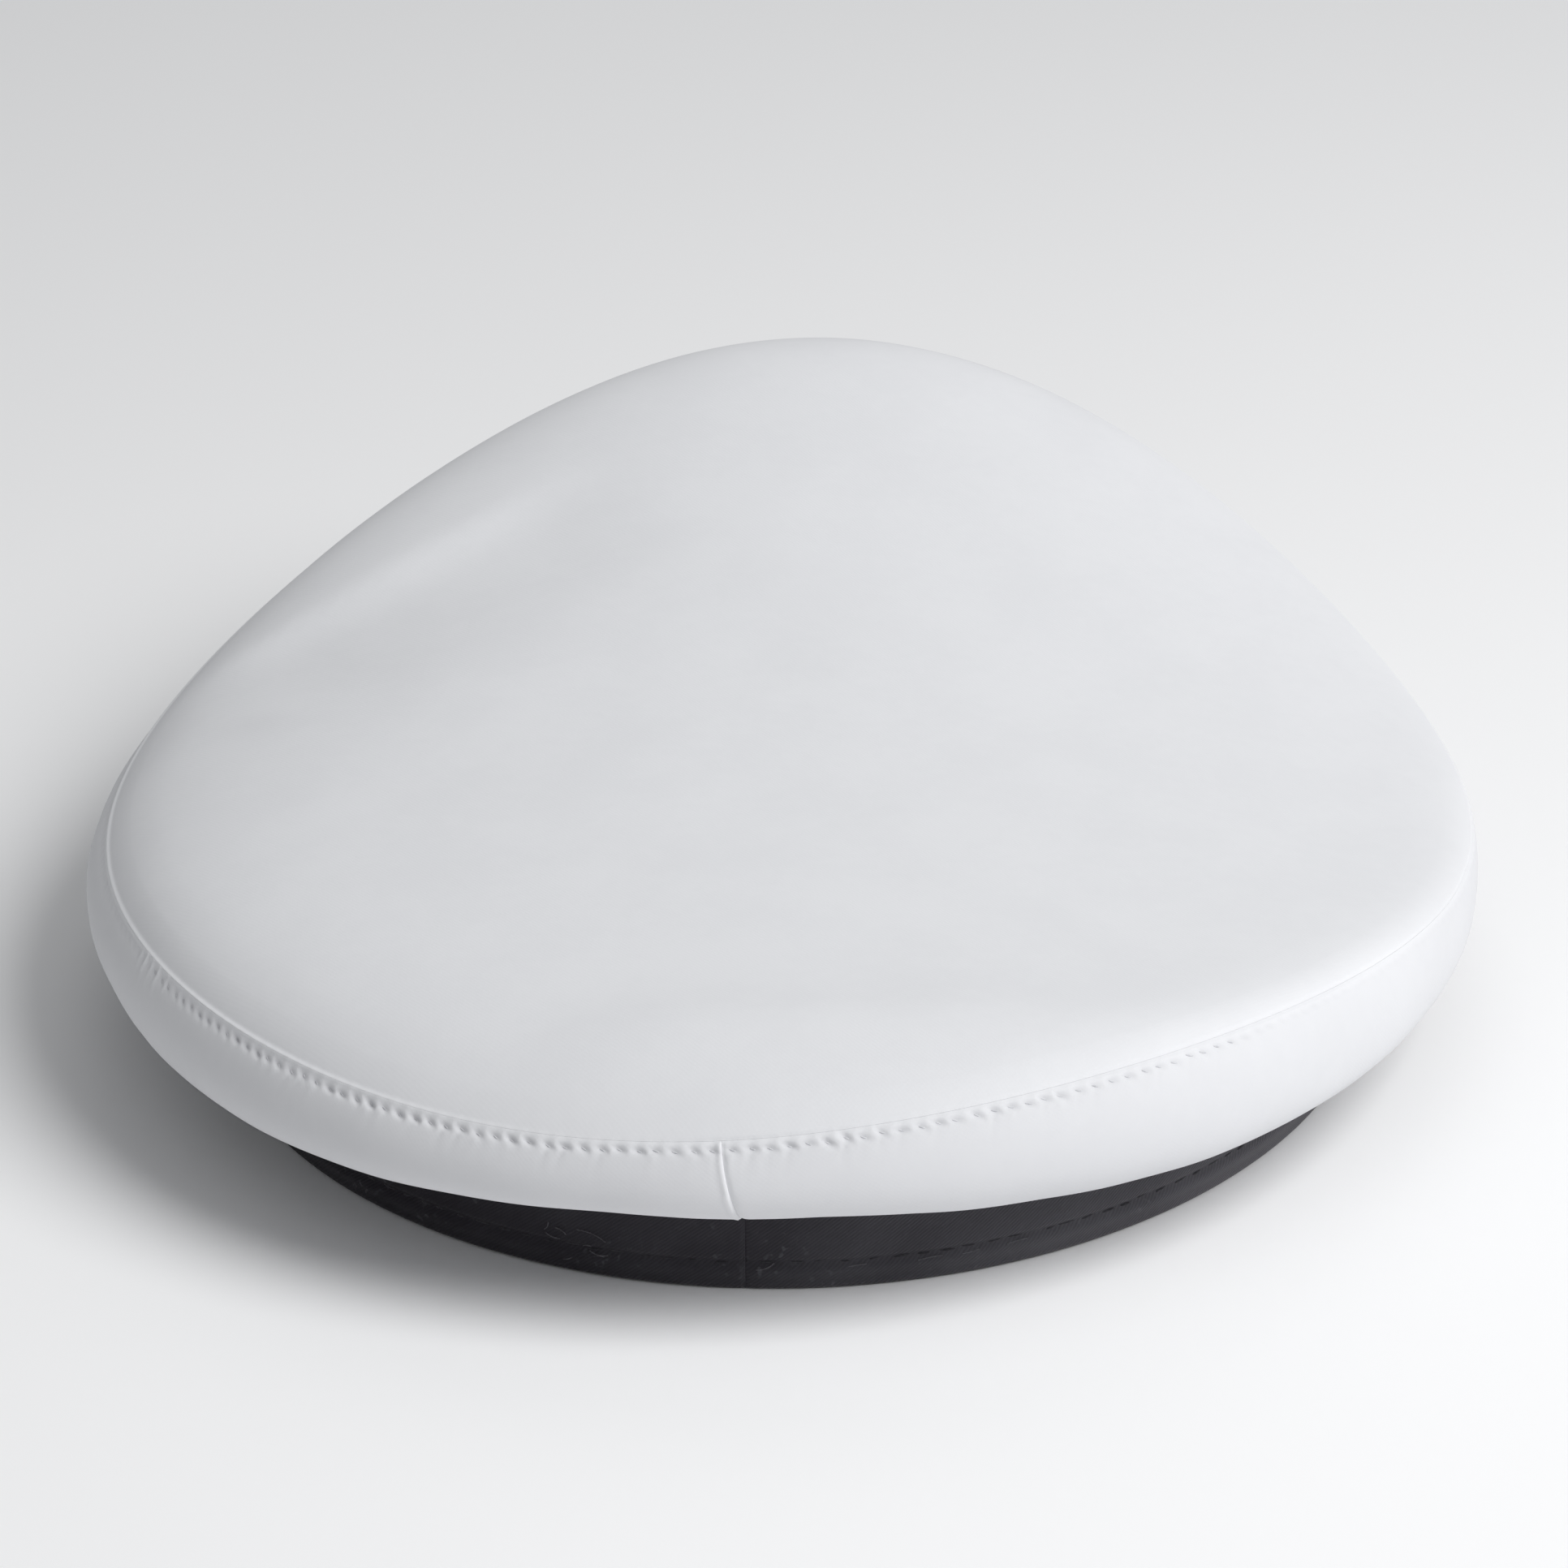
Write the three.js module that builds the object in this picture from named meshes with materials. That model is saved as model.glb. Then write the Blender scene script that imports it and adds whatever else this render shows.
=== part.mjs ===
// A soft fatigue cap without a peak: a white cloth crown over a narrow dark band.
// Millimetres. +Z is up, the back of the cap is +Y and the wearer's left is +X.
// The lower edge of the band lies on z = 0.
import * as THREE from "three";

const bandHalfWidth = 86;
const bandHalfLength = 102.5;
const bandHeight = 22;
const bandWall = 2.6;

const clothWall = 1.8;
const rimHalfWidth = 100.4;
const rimBackLength = 117;
const rimFrontLength = 118;

// The top is a flat skin stretched across its rim and raised by a low dome, which is fuller by
// domeTilt towards the wearer's left. domePower sets how level it stays before it falls.
const domeHeight = 3;
const domeTilt = 4;
const domePower = 4;

// The side leaves the rim downwards by bulgeDrop before its belly turns in.
const bulgeDrop = 6;

const seamGap = 0.35;
const hemLap = 2.2;
const sideSeamLean = THREE.MathUtils.degToRad(1.2);

const anglesRound = 72;
const topRings = 13;
const sideRows = 12;

// One row for each section round the cap, in degrees from the back towards the wearer's left.
// rimHeight is the height of the seam between top and side. bulge is how far the side swells
// beyond that seam. tuckOut and tuckHeight steer the way it turns in under itself to the band.
// rollHeight and rollWidth are how far and over what breadth the top rolls down to the seam.
const sections = [
  { angle: 0, rimHeight: 29.6, bulge: 5.6, tuckOut: 18, tuckHeight: 11, rollHeight: 6, rollWidth: 5.4 },
  { angle: 30, rimHeight: 27.6, bulge: 7.6, tuckOut: 18, tuckHeight: 7.5, rollHeight: 5, rollWidth: 5 },
  { angle: 60, rimHeight: 28.3, bulge: 6.4, tuckOut: 18, tuckHeight: 5, rollHeight: 4.2, rollWidth: 3.6 },
  { angle: 90, rimHeight: 27.7, bulge: 7.7, tuckOut: 17, tuckHeight: 8.7, rollHeight: 3, rollWidth: 3.8 },
  { angle: 120, rimHeight: 34.1, bulge: 5.0, tuckOut: 14, tuckHeight: 14, rollHeight: 4.4, rollWidth: 5.4 },
  { angle: 150, rimHeight: 50.2, bulge: 3.5, tuckOut: 10, tuckHeight: 22, rollHeight: 6, rollWidth: 6.4 },
  { angle: 180, rimHeight: 59.6, bulge: 3.0, tuckOut: 8, tuckHeight: 27, rollHeight: 5.6, rollWidth: 5.4 },
  { angle: 210, rimHeight: 48.3, bulge: 3.0, tuckOut: 10, tuckHeight: 22, rollHeight: 3.2, rollWidth: 5.6 },
  { angle: 240, rimHeight: 30.5, bulge: 3.0, tuckOut: 14, tuckHeight: 13, rollHeight: 2, rollWidth: 4.6 },
  { angle: 270, rimHeight: 26.4, bulge: 1.8, tuckOut: 17, tuckHeight: 6.2, rollHeight: 2, rollWidth: 2.9 },
  { angle: 300, rimHeight: 31.4, bulge: 2.7, tuckOut: 18, tuckHeight: 3.2, rollHeight: 2.2, rollWidth: 2.3 },
  { angle: 330, rimHeight: 33.7, bulge: 5.1, tuckOut: 18, tuckHeight: 4, rollHeight: 3.6, rollWidth: 3 },
];

// Soft furrows in the top, each along a line on the plan. innerWidth is the half width on its right,
// seen along that line, and outerWidth the one on its left. A depth below zero is a ridge. Past its
// ends a furrow fades out over furrowEndFade times its outerWidth.
const furrowEndFade = 2;
const furrows = [
  { fromX: 77, fromY: -26, toX: 34, toY: -59, outerWidth: 5, innerWidth: 20, depth: 2 },
  { fromX: 8, fromY: 98, toX: -24, toY: 95, outerWidth: 7, innerWidth: 7, depth: -0.8 },
  { fromX: -32, fromY: -42, toX: -49, toY: -26, outerWidth: 12, innerWidth: 12, depth: 0.6 },
];

const up = new THREE.Vector3(0, 0, 1);

// The cosine and sine waves that pass through one column of the section table.
function wavesThrough(column) {
  const count = sections.length;
  const waves = [];
  for (let order = 0; order <= count / 2; order += 1) {
    const share = order === 0 || order === count / 2 ? 1 / count : 2 / count;
    const wave = { order, cosine: 0, sine: 0 };
    for (const row of sections) {
      const turn = order * THREE.MathUtils.degToRad(row.angle);
      wave.cosine += share * row[column] * Math.cos(turn);
      wave.sine += share * row[column] * Math.sin(turn);
    }
    waves.push(wave);
  }
  return waves;
}

// Towards the middle each wave fades by the power of its order, as in a stretched skin.
function waveHeight(waves, angle, reach) {
  let height = 0;
  for (const wave of waves) {
    const turn = wave.order * angle;
    height += reach ** wave.order * (wave.cosine * Math.cos(turn) + wave.sine * Math.sin(turn));
  }
  return height;
}

const rimWaves = wavesThrough("rimHeight");
const bulgeWaves = wavesThrough("bulge");
const tuckOutWaves = wavesThrough("tuckOut");
const tuckHeightWaves = wavesThrough("tuckHeight");
const rollHeightWaves = wavesThrough("rollHeight");
const rollWidthWaves = wavesThrough("rollWidth");

function bandOutward(angle) {
  return new THREE.Vector3(Math.sin(angle) / bandHalfWidth, Math.cos(angle) / bandHalfLength, 0).normalize();
}

function bandPoint(angle, outward, height) {
  const point = new THREE.Vector3(bandHalfWidth * Math.sin(angle), bandHalfLength * Math.cos(angle), height);
  return point.addScaledVector(bandOutward(angle), outward);
}

function furrowDepth(x, y) {
  let depth = 0;
  for (const furrow of furrows) {
    const alongX = furrow.toX - furrow.fromX;
    const alongY = furrow.toY - furrow.fromY;
    const length = Math.hypot(alongX, alongY);
    const along = ((x - furrow.fromX) * alongX + (y - furrow.fromY) * alongY) / length;
    const across = ((x - furrow.fromX) * alongY - (y - furrow.fromY) * alongX) / length;
    const past = Math.max(-along, along - length, 0);
    const width = across > 0 ? furrow.innerWidth : furrow.outerWidth;
    const fade = furrowEndFade * furrow.outerWidth;
    depth += furrow.depth * Math.exp(-((across / width) ** 2) - (past / fade) ** 2);
  }
  return depth;
}

// The outer face of the top, from its middle at reach 0 to the rim seam at reach 1.
function topPoint(angle, reach) {
  const length = Math.cos(angle) > 0 ? rimBackLength : rimFrontLength;
  const x = reach * rimHalfWidth * Math.sin(angle);
  const y = reach * length * Math.cos(angle);
  const skin = waveHeight(rimWaves, angle, reach);
  const dome = (domeHeight + domeTilt * x / rimHalfWidth) * (1 - reach ** domePower);
  const rolled = 1 - reach ** (rimHalfWidth / waveHeight(rollWidthWaves, angle, 1));
  const roll = rolled * (waveHeight(rollHeightWaves, angle, reach) - furrowDepth(x, y));
  return new THREE.Vector3(x, y, skin + dome + roll);
}

// The outer face of the side, from the rim seam at drop 0 to the band at drop 1.
function sidePoint(angle, drop) {
  const rim = topPoint(angle, 1);
  const outward = bandOutward(angle);
  const swell = rim.clone().addScaledVector(outward, waveHeight(bulgeWaves, angle, 1));
  swell.addScaledVector(up, -bulgeDrop);
  const tuckOut = waveHeight(tuckOutWaves, angle, 1);
  const tuck = bandPoint(angle, tuckOut, waveHeight(tuckHeightWaves, angle, 1));
  const hem = bandPoint(angle, 0, bandHeight + seamGap);
  return new THREE.CubicBezierCurve3(rim, swell, tuck, hem).getPoint(drop);
}

// The direction into the cloth at a place on an outer face.
function inward(face, angle, place) {
  const step = 0.002;
  const from = Math.max(place - step, 0);
  const to = Math.min(place + step, 1);
  const along = face(angle, to).sub(face(angle, from));
  const round = face(angle + step, place).sub(face(angle - step, place));
  return along.cross(round).normalize();
}

// Top and side share one cut direction at the rim, so their edges face each other squarely.
function rimCut(angle) {
  const topInward = inward(topPoint, angle, 1);
  const cut = topInward.clone().add(inward(sidePoint, angle, 0)).normalize();
  return cut.multiplyScalar(clothWall / cut.dot(topInward));
}

// A closed wall from matching grids of outer and inner points. Rows run outwards or downwards,
// columns run round the cap. A first row of one point is the middle of a disc.
function wallGeometry(outer, inner, goesRound) {
  const positions = [];
  const faces = [];
  const number = (grid) => grid.map((row) => row.map((point) => positions.push(...point) / 3 - 1));
  const outerIndex = number(outer);
  const innerIndex = number(inner);
  const lastRow = outer.length - 1;
  const columns = outer[lastRow].length;
  const steps = goesRound ? columns : columns - 1;
  const isDisc = outer[0].length === 1;
  const quad = (a, b, c, d) => faces.push(a, b, c, a, c, d);

  for (let column = 0; column < steps; column += 1) {
    const next = (column + 1) % columns;
    for (let row = 0; row < lastRow; row += 1) {
      const o = outerIndex[row];
      const oBelow = outerIndex[row + 1];
      const i = innerIndex[row];
      const iBelow = innerIndex[row + 1];
      if (isDisc && row === 0) {
        faces.push(o[0], oBelow[next], oBelow[column], i[0], iBelow[column], iBelow[next]);
      } else {
        quad(o[column], o[next], oBelow[next], oBelow[column]);
        quad(i[next], i[column], iBelow[column], iBelow[next]);
      }
    }
    const oEdge = outerIndex[lastRow];
    const iEdge = innerIndex[lastRow];
    quad(oEdge[column], oEdge[next], iEdge[next], iEdge[column]);
    if (!isDisc) {
      quad(outerIndex[0][next], outerIndex[0][column], innerIndex[0][column], innerIndex[0][next]);
    }
  }
  if (!goesRound) {
    const end = columns - 1;
    for (let row = 0; row < lastRow; row += 1) {
      quad(outerIndex[row][0], outerIndex[row + 1][0], innerIndex[row + 1][0], innerIndex[row][0]);
      quad(outerIndex[row + 1][end], outerIndex[row][end], innerIndex[row][end], innerIndex[row + 1][end]);
    }
  }
  const geometry = new THREE.BufferGeometry();
  geometry.setAttribute("position", new THREE.Float32BufferAttribute(positions, 3));
  geometry.setIndex(faces);
  geometry.computeVertexNormals();
  return geometry;
}

// Angles of a strip whose two ends meet at the back with the seam gap between them.
function stripAngles(seamRadius) {
  const halfGap = seamGap / seamRadius / 2;
  const angles = [];
  for (let step = 0; step <= anglesRound; step += 1) {
    angles.push(halfGap + (step / anglesRound) * (2 * Math.PI - 2 * halfGap));
  }
  return angles;
}

function topGeometry() {
  const middle = topPoint(0, 0);
  const outer = [[middle]];
  const inner = [[middle.clone().addScaledVector(up, -clothWall)]];
  for (let ring = 1; ring <= topRings; ring += 1) {
    const reach = Math.sin((ring / topRings) * Math.PI / 2);
    const outerRow = [];
    const innerRow = [];
    for (let step = 0; step < anglesRound; step += 1) {
      const angle = (step / anglesRound) * 2 * Math.PI;
      const point = topPoint(angle, reach);
      const depth = ring === topRings ? rimCut(angle) : inward(topPoint, angle, reach).multiplyScalar(clothWall);
      outerRow.push(point);
      innerRow.push(point.clone().add(depth));
    }
    outer.push(outerRow);
    inner.push(innerRow);
  }
  return wallGeometry(outer, inner, true);
}

function sideGeometry() {
  const outer = [];
  const inner = [];
  const angles = stripAngles(rimBackLength);
  for (let row = 0; row <= sideRows; row += 1) {
    const share = row / sideRows;
    const outerRow = [];
    const innerRow = [];
    for (const seamAngle of angles) {
      const angle = seamAngle + sideSeamLean * (1 - share);
      const firstDrop = seamGap / (3 * Math.hypot(bulgeDrop, waveHeight(bulgeWaves, angle, 1)));
      const drop = firstDrop + share * (1 - firstDrop);
      const point = sidePoint(angle, drop);
      let depth = inward(sidePoint, angle, drop).multiplyScalar(clothWall);
      if (row === 0) {
        depth = rimCut(angle);
      }
      if (row === sideRows) {
        depth.divideScalar(clothWall).add(up).normalize().multiplyScalar(clothWall);
      }
      outerRow.push(point);
      innerRow.push(point.clone().add(depth));
    }
    outer.push(outerRow);
    inner.push(innerRow);
  }
  outer.push(angles.map((angle) => bandPoint(angle, -hemLap, bandHeight + seamGap)));
  inner.push(angles.map((angle) => bandPoint(angle, -hemLap, bandHeight + seamGap + clothWall)));
  return wallGeometry(outer, inner, false);
}

function bandGeometry() {
  const angles = stripAngles(bandHalfLength);
  const heights = [bandHeight, 0];
  const outer = heights.map((height) => angles.map((angle) => bandPoint(angle, 0, height)));
  const inner = heights.map((height) => angles.map((angle) => bandPoint(angle, -bandWall, height)));
  return wallGeometry(outer, inner, false);
}

function piece(name, geometry, colour, roughness) {
  const material = new THREE.MeshStandardMaterial({ color: colour, roughness });
  const mesh = new THREE.Mesh(geometry, material);
  mesh.name = name;
  return mesh;
}

const cap = new THREE.Group();
cap.name = "fatigue_cap";
cap.add(piece("crown_top", topGeometry(), 0xe9eaee, 0.85));
cap.add(piece("crown_side", sideGeometry(), 0xe4e5ea, 0.85));
cap.add(piece("band", bandGeometry(), 0x26252a, 0.9));

export default cap;
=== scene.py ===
# A soft white-topped fatigue cap on its dark band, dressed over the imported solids.
# Metres. +Z is up, the back of the cap is +Y and the wearer's left is +X.
import math

import bpy
import numpy as np
from mathutils import Matrix, Vector, noise


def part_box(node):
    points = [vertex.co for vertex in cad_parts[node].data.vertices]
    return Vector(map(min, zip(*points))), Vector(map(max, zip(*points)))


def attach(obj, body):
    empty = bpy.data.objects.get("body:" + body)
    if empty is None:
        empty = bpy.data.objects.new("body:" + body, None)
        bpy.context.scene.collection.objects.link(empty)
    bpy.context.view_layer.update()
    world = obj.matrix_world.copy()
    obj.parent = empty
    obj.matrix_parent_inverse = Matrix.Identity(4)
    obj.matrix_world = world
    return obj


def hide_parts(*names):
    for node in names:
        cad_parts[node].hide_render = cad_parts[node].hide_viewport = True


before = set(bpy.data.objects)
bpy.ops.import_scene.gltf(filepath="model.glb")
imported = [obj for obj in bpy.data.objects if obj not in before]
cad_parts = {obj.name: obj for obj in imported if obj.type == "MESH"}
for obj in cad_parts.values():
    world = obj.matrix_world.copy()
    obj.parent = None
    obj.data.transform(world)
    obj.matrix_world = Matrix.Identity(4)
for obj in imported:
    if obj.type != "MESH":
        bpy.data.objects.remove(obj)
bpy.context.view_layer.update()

mm = 0.001
print("frame loaded:", ", ".join(sorted(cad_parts)))

# The form of the cap

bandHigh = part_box("band")[1]
topLow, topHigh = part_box("crown_top")

capForm = {
    "bandHalfWidth": bandHigh.x,
    "bandHalfLength": bandHigh.y,
    "bandHeight": bandHigh.z,
    "bandWall": 2.6 * mm,
    "rimHalfWidth": topHigh.x,
    "rimBackLength": topHigh.y,
    "rimFrontLength": -topLow.y,
    "clothWall": 1.8 * mm,
    "domeHeight": 3 * mm,
    "domeTilt": 4 * mm,
    "domePower": 4,
    "crestBlur": 0.2,
    "bulgeDrop": 6 * mm,
    "hemLap": 2.2 * mm,
    "seamGap": 0.02 * mm,       # sewn edges all but touch
    "seamBlend": 1.5 * mm,      # how far from the rim seam top and side share one normal
    "sideSeamLean": math.radians(0.96),
    "sideSeamSwing": 6,         # how soon the back seam swings past its foot
    "slopeStep": 0.002,         # radians, or share of a face, over which slopes are measured
    "ovalSteps": 4096,          # for lengths along the rim seam and along the band
    "sharpAngle": math.radians(60),
}

# Degrees from the back towards the wearer's left: height of the rim seam, how far the side
# swells beyond it, how far out and how high it turns in under itself, and the height and
# breadth of the top's roll down to the seam, in millimetres.
sectionRows = {
    0: (29.6, 5.6, 18, 11, 6, 5.4),
    30: (27.6, 7.6, 18, 7.5, 5, 5),
    60: (28.3, 6.4, 18, 5, 4.2, 3.6),
    90: (27.7, 7.7, 17, 8.7, 3, 3.8),
    120: (34.1, 5.0, 14, 14, 4.4, 5.4),
    150: (50.2, 3.5, 10, 22, 6, 6.4),
    180: (59.6, 3.0, 8, 27, 5.6, 5.4),
    210: (48.3, 3.0, 10, 22, 3.2, 5.6),
    240: (30.5, 3.0, 14, 13, 2, 4.6),
    270: (26.4, 1.8, 17, 6.2, 2, 2.9),
    300: (31.4, 2.7, 18, 3.2, 2.2, 2.3),
    330: (33.7, 5.1, 18, 4, 3.6, 3),
}

# Soft furrows in the top, or a ridge where the depth is below zero: from x, y, to x, y, half width on
# the left and on the right of that line, depth and fade past the ends, in millimetres. A left side
# that is narrower than the right one has a crisp edge.
furrowRows = (
    (74.5, -26, 46, -51, 11, 20, 1.8, 15),
    (8, 98, -24, 95, 7, 7, -0.8, 14),
    (-32, -42, -49, -26, 12, 12, 0.6, 24),
)


def wavesThrough(column):
    angles = np.radians(list(sectionRows))
    values = np.array([row[column] for row in sectionRows.values()]) * mm
    half = len(values) // 2
    waves = []
    for order in range(half + 1):
        share = (1 if order in (0, half) else 2) / len(values)
        cosine = share * (values * np.cos(order * angles)).sum()
        sine = share * (values * np.sin(order * angles)).sum()
        waves.append((order, cosine, sine))
    return waves


def waveHeight(waves, angle, reach=1.0):
    height = 0.0
    for order, cosine, sine in waves:
        height = height + reach**order * (cosine * np.cos(order * angle) + sine * np.sin(order * angle))
    return height


rimWaves, bulgeWaves, tuckOutWaves, tuckHeightWaves = (wavesThrough(column) for column in range(4))
rollHeightWaves, rollWidthWaves = (wavesThrough(column) for column in range(4, 6))


def stack(x, y, z):
    return np.stack(np.broadcast_arrays(x, y, z), axis=-1).astype(float)


def unit(vectors):
    return vectors / np.linalg.norm(vectors, axis=-1, keepdims=True)


def bandOutward(angle):
    flat = stack(np.sin(angle) / capForm["bandHalfWidth"], np.cos(angle) / capForm["bandHalfLength"], 0.0)
    return unit(flat)


def bandPoint(angle, outward, height):
    around = stack(
        capForm["bandHalfWidth"] * np.sin(angle), capForm["bandHalfLength"] * np.cos(angle), height
    )
    return around + bandOutward(angle) * np.asarray(outward)[..., None]


def hump(distance, halfWidth):
    return np.exp(-((distance / halfWidth) ** 2))


def crispWall(share):
    # steepest at its crest, which is one half width out, and level at its foot
    inside = 1 - share**2
    blur = capForm["crestBlur"]
    return (inside + np.sqrt(inside**2 + blur**2)) / (1 + math.sqrt(1 + blur**2))


def furrowDepth(x, y):
    depth = 0.0
    for row in furrowRows:
        fromX, fromY, toX, toY, leftWidth, rightWidth, deep, endFade = (value * mm for value in row)
        length = math.hypot(toX - fromX, toY - fromY)
        alongX, alongY = (toX - fromX) / length, (toY - fromY) / length
        along = (x - fromX) * alongX + (y - fromY) * alongY
        across = (x - fromX) * alongY - (y - fromY) * alongX
        past = np.maximum(np.maximum(-along, along - length), 0)
        left = crispWall(across / leftWidth) if leftWidth < rightWidth else hump(across, leftWidth)
        wall = np.where(across > 0, hump(across, rightWidth), left)
        depth = depth + deep * wall * hump(past, endFade)
    return depth


def topPoint(angle, reach):
    length = np.where(np.cos(angle) > 0, capForm["rimBackLength"], capForm["rimFrontLength"])
    x = reach * capForm["rimHalfWidth"] * np.sin(angle)
    y = reach * length * np.cos(angle)
    skin = waveHeight(rimWaves, angle, reach)
    dome = capForm["domeHeight"] + capForm["domeTilt"] * x / capForm["rimHalfWidth"]
    dome = dome * (1 - reach ** capForm["domePower"])
    rolled = 1 - reach ** (capForm["rimHalfWidth"] / waveHeight(rollWidthWaves, angle))
    roll = rolled * (waveHeight(rollHeightWaves, angle, reach) - furrowDepth(x, y))
    return stack(x, y, skin + dome + roll)


def sidePoint(angle, drop):
    rim = topPoint(angle, np.ones_like(angle))
    down = np.array((0, 0, -capForm["bulgeDrop"]))
    swell = rim + bandOutward(angle) * waveHeight(bulgeWaves, angle)[..., None] + down
    tuck = bandPoint(angle, waveHeight(tuckOutWaves, angle), waveHeight(tuckHeightWaves, angle))
    hem = bandPoint(angle, np.zeros_like(angle), capForm["bandHeight"] + capForm["seamGap"])
    share = np.asarray(drop)[..., None]
    rest = 1 - share
    return rest**3 * rim + 3 * rest**2 * share * swell + 3 * rest * share**2 * tuck + share**3 * hem


def outwardNormal(face, angle, place):
    step = capForm["slopeStep"]
    below = np.clip(place + step, 0, 1)
    above = np.clip(place - step, 0, 1)
    downwards = face(angle, below) - face(angle, above)
    around = face(angle + step, place) - face(angle - step, place)
    return unit(np.cross(around, downwards))


def rimNormals(angle):
    ones = np.ones_like(angle)
    return outwardNormal(topPoint, angle, ones), outwardNormal(sidePoint, angle, 0 * ones)


def rimCut(angle):
    topOut, sideOut = rimNormals(angle)
    cut = -unit(topOut + sideOut)
    return cut * (-capForm["clothWall"] / (cut * topOut).sum(axis=-1, keepdims=True))


def seamNormal(face, angle, place, toSeam):
    # near the seam both pieces share one normal, so that their relief meets
    own = outwardNormal(face, angle, place)
    shared = unit(sum(rimNormals(angle)))
    return unit(own + (shared - own) * hump(toSeam, capForm["seamBlend"])[..., None])


# Lengths along the rim seam, from the back towards the wearer's left.
rimAngles = np.linspace(0, 2 * math.pi, capForm["ovalSteps"] + 1)
rimSteps = np.linalg.norm(np.diff(topPoint(rimAngles, np.ones_like(rimAngles)), axis=0), axis=1)
rimRuns = np.concatenate(([0], np.cumsum(rimSteps)))
rimLength = rimRuns[-1]


def angleAt(run):
    return np.interp(run, rimRuns, rimAngles)


def runAt(angle):
    return np.interp(np.mod(angle, 2 * math.pi), rimAngles, rimRuns)


def roundedEdge(distance, radius):
    short = np.clip(radius - distance, 0, radius)
    return np.sqrt(radius**2 - short**2) - radius


def ripple(points, size, seed):
    return np.array([noise.noise(Vector(point) / size + Vector((seed, 0, 0))) for point in points])


def endedRuns(length, columns, endColumns, endZone):
    # places along a strip, crowded towards its two sewn ends
    end = np.linspace(0, endZone, endColumns + 1)[:-1]
    middle = np.linspace(endZone, length - endZone, columns - 2 * endColumns + 1)
    run = np.concatenate((end, middle, length - end[::-1]))
    return np.clip(run, capForm["seamGap"] / 2, length - capForm["seamGap"] / 2)


# Meshes from rows of points

def joinRows(above, below, closed):
    first = np.append(above, above[0]) if closed else above
    second = np.append(below, below[0]) if closed else below
    if len(first) == len(second):
        return [np.stack((first[:-1], first[1:], second[1:], second[:-1]), axis=1)]
    if len(first) > len(second):
        left, middle, right = first[:-2:2], first[1:-1:2], first[2::2]
        return [
            np.stack((left, middle, second[:-1]), axis=1),
            np.stack((middle, second[1:], second[:-1]), axis=1),
            np.stack((middle, right, second[1:]), axis=1),
        ]
    left, middle, right = second[:-2:2], second[1:-1:2], second[2::2]
    return [
        np.stack((first[:-1], first[1:], middle), axis=1),
        np.stack((first[:-1], middle, left), axis=1),
        np.stack((first[1:], right, middle), axis=1),
    ]


def clothMesh(name, rows, closed):
    # Each row holds points, run (its place on the flat cloth) and painted shade. Neighbouring rows
    # have as many points as each other, or twice or half as many, and a closed piece may begin and end
    # with a single point. An open strip closes through its ends.
    starts = np.cumsum([0] + [len(row["points"]) for row in rows])
    numbers = [np.arange(first, last) for first, last in zip(starts[:-1], starts[1:])]
    faces = []
    for above, below in zip(numbers[:-1], numbers[1:]):
        if len(above) == 1:
            ring = np.append(below, below[0])
            faces.append(np.stack((np.full(len(below), above[0]), ring[1:], ring[:-1]), axis=1))
        elif len(below) == 1:
            ring = np.append(above, above[0])
            faces.append(np.stack((np.full(len(above), below[0]), ring[:-1], ring[1:]), axis=1))
        else:
            faces.extend(joinRows(above, below, closed))
    if not closed:
        faces.extend(joinRows(numbers[-1], numbers[0], False))
    polygons = [polygon for group in faces for polygon in group.tolist()]
    if not closed:
        polygons.append([int(row[0]) for row in numbers])
        polygons.append([int(row[-1]) for row in reversed(numbers)])
    mesh = bpy.data.meshes.new(name)
    mesh.from_pydata(np.concatenate([row["points"] for row in rows]).tolist(), [], polygons)
    runs = np.concatenate([row["run"] for row in rows])
    paintedShade = np.concatenate([row["paintedShade"] for row in rows])
    corners = np.zeros(len(mesh.loops), dtype=np.int32)
    mesh.loops.foreach_get("vertex_index", corners)
    mesh.uv_layers.new(name="clothRun").data.foreach_set("uv", runs[corners].ravel())
    mesh.attributes.new("paintedShade", "FLOAT", "POINT").data.foreach_set("value", paintedShade)
    mesh.shade_smooth()
    mesh.set_sharp_from_angle(angle=capForm["sharpAngle"])
    mesh.validate()
    return mesh


def linkPiece(name, mesh, material):
    mesh.materials.append(material)
    piece = bpy.data.objects.new(name, mesh)
    bpy.context.scene.collection.objects.link(piece)
    return piece


def clothRow(points, run, paintedShade=0.0):
    return {"points": points, "run": run, "paintedShade": np.broadcast_to(paintedShade, len(points)).astype(float)}


# Node trees

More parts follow.
